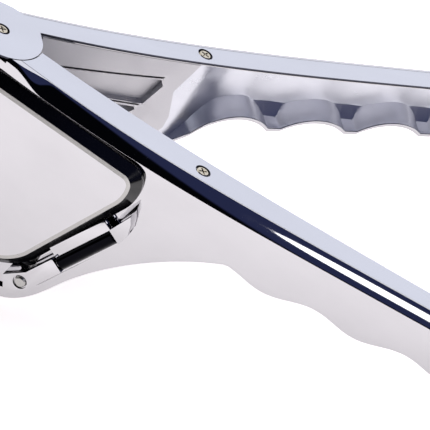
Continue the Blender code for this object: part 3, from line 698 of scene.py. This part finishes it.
def archHeight(x):  # rise of the finger arches above the line of the teeth
    s = rearArm
    offset = (x - s["tooth"]) % arms["pitch"]
    span = arms["pitch"] / 2 - s["flat"]
    along = abs(offset - arms["pitch"] / 2)
    if along >= span:
        return 0.0
    radius = (span ** 2 + s["arch"] ** 2) / (2 * s["arch"])
    return math.sqrt(radius ** 2 - along ** 2) - (radius - s["arch"])


def rearToothLine(x):
    at, height, slope = rearArm["toothLine"]
    return height + slope * (x - at)


def rearUnderside():  # inner edge of the rim, seen from the side
    s = rearArm
    start = s["headCurve"][0]
    chain = [(-9.0, start[1]), (24.0, start[1])]
    chain += cubic(*s["headCurve"], 16) + cubic(*s["neckCurve"], 16)[1:] + cubic(*s["firstArch"], 20)
    for i in range(0, 175):
        x = s["archesFrom"] + i * 0.4
        chain.append((x, rearToothLine(x) + archHeight(x)))
    low = chain[-1][1]
    tip = arms["tip"]
    return chain + cubic((tip - 13, low), (tip - 4, low + 1.0), (tip - 0.1, low + 2.5),
                         (tip + 0.01, -1.0), 10)


def rearSection(x, underside):
    s = rearArm
    slope = matingSlope(x) if x >= 12 else 0.0
    normal = Vector((-slope, 1)).normalized()
    meet = mating(x) + arms["gap"]
    if x < 9:  # the end clears the front arm's barrel
        meet = max(meet, math.sqrt(max(0.0, s["barrelRoom"] ** 2 - x * x)))
    base = Vector((x, meet))
    reach = 8.0
    for _ in range(6):
        spot = base + normal * reach
        reach += (rearOuter(spot.x) - spot.y) * normal.y
    reach -= tipInset(x)
    rimLow = min(heightOn(underside, x), -s["minDepth"])
    if x > s["archesFrom"]:
        hump = max(0.0, archHeight(x))
        swell = 1.35 * s["arch"] * (hump / s["arch"]) ** 0.55 - hump  # wide humps on the web over the arches
    else:
        hump = max(0.0, rimLow - rearToothLine(max(x, 62)))
        swell = 0.35 * hump
    hollow = (1 - blendStep(*arms["hollowEnd"], x)) * blendStep(*s["hollowStart"], x)
    head = 1.0 if x < s["headEnd"] else 0.0
    ramp = blendStep(*s["ramp"], x)
    near, far = s["web"]
    web = (near + (far - near) * ramp) * (1 - head) + (reach - 1.3) * head
    wave = math.cos(2 * math.pi * (x - s["waveStart"]) / arms["pitch"])
    web -= s["undulation"] * wave * blendStep(66, 76, x)
    web = min(web, reach - 1.0) * hollow
    under = rimLow - s["rim"]
    webFloor = rimLow + (0.7 + swell) * (1 - head) * hollow * ramp
    shelf = webFloor + max(0.0, rearToothLine(x) + s["shelf"] - webFloor) * blendStep(70, 76, x)
    notch = min(s["notch"], max(0.0, shelf - webFloor)) * hollow
    r = s["shoulder"]
    soft = min(1.2, (-under - r) * 0.4)
    flange = s["flange"]
    webFloor = min(webFloor, flange - 0.2)
    shelf = min(shelf, flange - 0.1)
    ring = arc((reach - soft, under + soft), soft, -90, 0, 6)
    start = under + soft
    ring += [(reach, start + (-r - start) * t) for t in (0.02, 0.25, 0.5, 0.75, 0.98)]
    ring += arc((reach - r, -r), r, 0, 86, 14)
    inset = arms["seatGap"]
    ring += [(reach - r - inset, s["seat"]), (inset, s["seat"])]
    innerStart = len(ring)
    corner, bend = 0.8 * hollow, 0.25 * hollow
    high = flange - corner
    ring += [(inset, flange), (max(0, web - corner), flange), (web - bend, flange - bend), (web, high)]
    ring += [(web, high + (shelf - high) * t) for t in (0.2, 0.4, 0.6, 0.8, 0.97)]
    ring += [(web, shelf), (web - notch, webFloor)]
    lip = min(s["lip"], web * 0.6)
    ring += [((web - notch) * (1 - t) + lip * t, webFloor * (1 - t) + rimLow * t)
             for t in (0.33, 0.66, 1.0)]
    innerEnd = len(ring)
    r = s["lipRound"]
    ring += arc((r, rimLow - r), r, 90, 180, 4)[:-1]
    ring += [(0, rimLow - r - 0.02), (0.0, under + r + 0.02)] + arc((r, under + r), r, 180, 270, 4)[1:]
    points = []
    for offset, z in ring:
        spot = base + normal * offset
        points.append((spot.x, spot.y, z))
    return points, set(range(innerStart, innerEnd))


def makeRearArm():
    underside = rearUnderside()
    stations = [3.5, 5, 6, 7, 8, 8.5, 9, 9.5] + [10 + i for i in range(0, 46)]
    stations += [56 + i * 0.4 for i in range(0, 263)] + [161.2 + i * 0.3 for i in range(0, 13)]
    rings = [rearSection(x, underside) for x in stations]
    bm = bmesh.new()
    loft(bm, [ring for ring, _ in rings], rings[0][1])
    finishPiece(bm, "rearArmBody", [rearChrome, rearZinc], "rear_arm", rearFrame,
                ("rear_arm_shell",), 30)


makeRearArm()
print("rear arm made")


# Cast filler block in the rear arm's head

block = {
    "face": 0.5, "back": 3.6,  # from the mating curve
    "outline": [(11.5, -19.4), (39.5, -19.4), (39.5, -26.0), (49.5, -26.0), (53.4, -21.0), (53.2, -17.4),
                (50.5, -10.0), (53.4, -1.25), (11.5, -1.25)],
    # each pocket and groove is an outline with its depth
    "pockets": [([(14, -14.7), (44.6, -14.7), (47.0, -8.8), (45.6, -7.0), (14, -9.2)], 1.5),
                ([(14, -18.7), (41.5, -18.7), (43.4, -16.7), (42.8, -15.9), (14, -15.9)], 2.0)],
    "grooves": [([(14, -8.85), (45.9, -6.65), (46.2, -6.1), (14, -8.3)], 1.4),
                ([(14, -15.38), (43.6, -15.38), (43.9, -14.92), (14, -14.92)], 1.8)],
}


# An (x, z) outline extruded between two offsets from the mating curve
def curvedPrism(bm, outline, near, far):
    bm.faces.new([bm.verts.new((x, 0, z)) for x, z in outline])
    for x in range(12, 54, 2):
        geom = bm.verts[:] + bm.edges[:] + bm.faces[:]
        bmesh.ops.bisect_plane(bm, geom=geom, plane_co=(x, 0, 0), plane_no=(1, 0, 0), dist=1e-4)
    for vert in bm.verts:
        vert.co.y = mating(vert.co.x) + near
    out = bmesh.ops.extrude_face_region(bm, geom=bm.faces[:])["geom"]
    fresh = [g for g in out if isinstance(g, bmesh.types.BMVert)]
    bmesh.ops.translate(bm, vec=(0, far - near, 0), verts=fresh)


def makeBlock():
    bm = bmesh.new()
    curvedPrism(bm, block["outline"], block["face"], block["back"])
    piece = finishPiece(bm, "rearInnerBlock", [blastZinc], "rear_arm", rearFrame,
                        ("rear_inner_block",), 30)
    cutters = []
    for outline, depth in block["pockets"] + block["grooves"]:
        bm = bmesh.new()
        curvedPrism(bm, outline, -4.0, block["face"] + depth)
        cutters.append(keepCutter(bm, rearFrame))
    bakeCut(piece, cutters)
    piece.data.shade_smooth()
    piece.data.set_sharp_from_angle(angle=math.radians(30))


makeBlock()
print("inner block made")


# Hopper door and its hinge, in the door's own frame: y = 0 is its inner face, -y is outwards

door = {
    "outline": [(1.6, -50.5, 6), (20.0, -50.5, 5), (33.0, -42.6, 4), (47.0, -11.5, 3), (45.8, -3.9, 4),
                (1.6, -3.9, 5)],
    "side": 0.9,
    "flank": 2.1, "rise": 2.11,  # width and rise of the slope painted black as a dark reflection
    "edge": 0.9, "edgeRise": 0.19,  # bright ring inside it, given darker brushed steel as a partly painted grey reflection
    "hingeStart": (47.1, -20.8), "hingeEnd": (39.8, -35.6), "hingeY": -1.9,
    "knuckle": 1.8, "knuckleBore": 1.0, "knuckleEdge": 0.25,
    "endGap": 0.2,
    "leaf": (-4.2, -2.6, -1.2),  # reach from the hinge line, outer and inner face
}


def hingePoint(along, across=0.0):
    start = Vector(door["hingeStart"])
    run = (Vector(door["hingeEnd"]) - start).normalized()
    return start + run * along + Vector((-run.y, run.x)) * across


def makeDoor():
    bm = bmesh.new()
    prism(bm, rounded(door["outline"], 10), 0.0, -door["side"])
    outer = max(bm.faces, key=lambda f: -f.calc_center_median().y)
    bmesh.ops.recalc_face_normals(bm, faces=bm.faces)
    # side walls and the sloping rim take the black colour, a painted dark reflection
    for face in bm.faces:
        if abs(face.normal.y) < 0.5:
            face.material_index = 1
    ring = bmesh.ops.inset_region(bm, faces=[outer], thickness=door["flank"], depth=door["rise"])["faces"]
    for face in ring:
        face.material_index = 1
    # the ring takes brushed steel, whose darker tone is a painted grey reflection and whose roughness dulls
    # it
    ring = bmesh.ops.inset_region(bm, faces=[outer], thickness=door["edge"], depth=door["edgeRise"])["faces"]
    for face in ring:
        face.material_index = 2
    outer.material_index = 0
    finishPiece(bm, "hopperDoor", [frontChrome, doorRimPaintedDark, steel], "door", doorFrame,
                ("hopper_door",), 8)
    length = (Vector(door["hingeEnd"]) - Vector(door["hingeStart"])).length
    reach, low, high = door["leaf"]
    gap = door["endGap"]
    bm = bmesh.new()
    far = length - gap
    prism(bm, [hingePoint(gap), hingePoint(far), hingePoint(far, reach), hingePoint(gap, reach)], low, high)
    bmesh.ops.recalc_face_normals(bm, faces=bm.faces)
    breakEdges(bm, 0.15)
    finishPiece(bm, "doorHingeLeaf", [frontChrome], "door", doorFrame)
    bm = bmesh.new()
    start, end = [Vector((p.x, door["hingeY"], p.y)) for p in (hingePoint(gap), hingePoint(far))]
    along = (end - start).to_track_quat("Z", "Y").to_matrix().to_4x4()
    middle = Matrix.Translation((start + end) / 2)
    half = (end - start).length / 2
    r, bore, edge = door["knuckle"], door["knuckleBore"], door["knuckleEdge"]
    profile = [(bore, -half), (r - edge, -half), (r, -half + edge)]
    profile += [(r, half - edge), (r - edge, half), (bore, half)]
    spinClosed(bm, profile, 64)
    finishPiece(bm, "doorHingeKnuckle", [nearBlackKnuckle], "door", doorFrame @ middle @ along)


# Every other part keeps its own shape with its edges broken

sheet = 0.45  # thickness that the side plates show
rebuilt = ("front_arm_shell", "rear_arm_shell", "rear_inner_block", "hopper_door")


def polishedCopy(nodeName, pieceName, material, slotName, edge=0.12):
    bm = bmesh.new()
    bm.from_mesh(frame["nodes"][nodeName].data)
    bmesh.ops.scale(bm, vec=(1 / mm, 1 / mm, 1 / mm), verts=bm.verts)
    bmesh.ops.remove_doubles(bm, verts=bm.verts, dist=1e-3)
    if edge:
        bmesh.ops.dissolve_limit(bm, angle_limit=math.radians(0.4), verts=bm.verts, edges=bm.edges)
        breakEdges(bm, edge)
    bmesh.ops.recalc_face_normals(bm, faces=bm.faces)
    materials = [material]
    if slotName == "side_plate_chrome":
        materials.append(plateEdgePaintedShade)
        up = pressFrame.to_3x3().normalized().col[2]
        top = pressFrame.translation.dot(up) / mm
        for vert in bm.verts:
            depth = top - vert.co.dot(up)
            if depth > sheet:
                vert.co += up * (depth - sheet)
        # faces that turn away from the top take the edge colour, a painted shade and dark reflection
        for face in bm.faces:
            face.material_index = 1 if abs(face.normal.dot(up)) < 0.7 else 0
    body = [b for b in (body_of(frame["nodes"][nodeName]) or []) if b][0]
    finishPiece(bm, pieceName, materials, body, Matrix.Scale(mm, 4), (nodeName,), 40)


# node: material, slot and width of its broken edges
smallParts = {
    "front_side_plate": (frontPlate, "side_plate_chrome", 0.0),
    "rear_side_plate": (rearPlate, "side_plate_chrome", 0.0),
    "plunger_carrier": (blastZinc, "satin_zinc", 0.20),
    "plunger": (blastZinc, "satin_zinc", 0.25),
    "lower_pivot_strap": (rearChrome, "chrome_plate", 0.15),
    "upper_hinge_lug": (frontChrome, "chrome_plate", 0.15),
    "lower_hinge_strap": (frontChrome, "chrome_plate", 0.15),
    "hopper_cup": (steel, "stainless_steel", 0.15),
    "sieve_plate": (steel, "stainless_steel", 0.08),
    "pivot_pin": (steel, "stainless_steel", 0.15),
    "door_hinge_pin": (steel, "stainless_steel", 0.08),
    "hinge_rivet": (steel, "stainless_steel", 0.08),
    "plunger_pin": (steel, "stainless_steel", 0.10),
    "plunger_pin_clip_1": (steel, "stainless_steel", 0.06),
    "plunger_pin_clip_2": (steel, "stainless_steel", 0.06),
}
makeDoor()
for nodeName in sorted(frame["nodes"]):
    if nodeName in rebuilt:
        continue
    words = nodeName.split("_")
    pieceName = words[0] + "".join(w.capitalize() for w in words[1:])
    if "screw" in nodeName:
        polishedCopy(nodeName, pieceName, screwNickel, "nickel_screw", 0.07)
    elif "bush" in nodeName:
        polishedCopy(nodeName, pieceName, nylon, "nylon_bush", 0.12)
    else:
        material, slotName, edge = smallParts[nodeName]
        polishedCopy(nodeName, pieceName, material, slotName, edge)
print("small parts made")
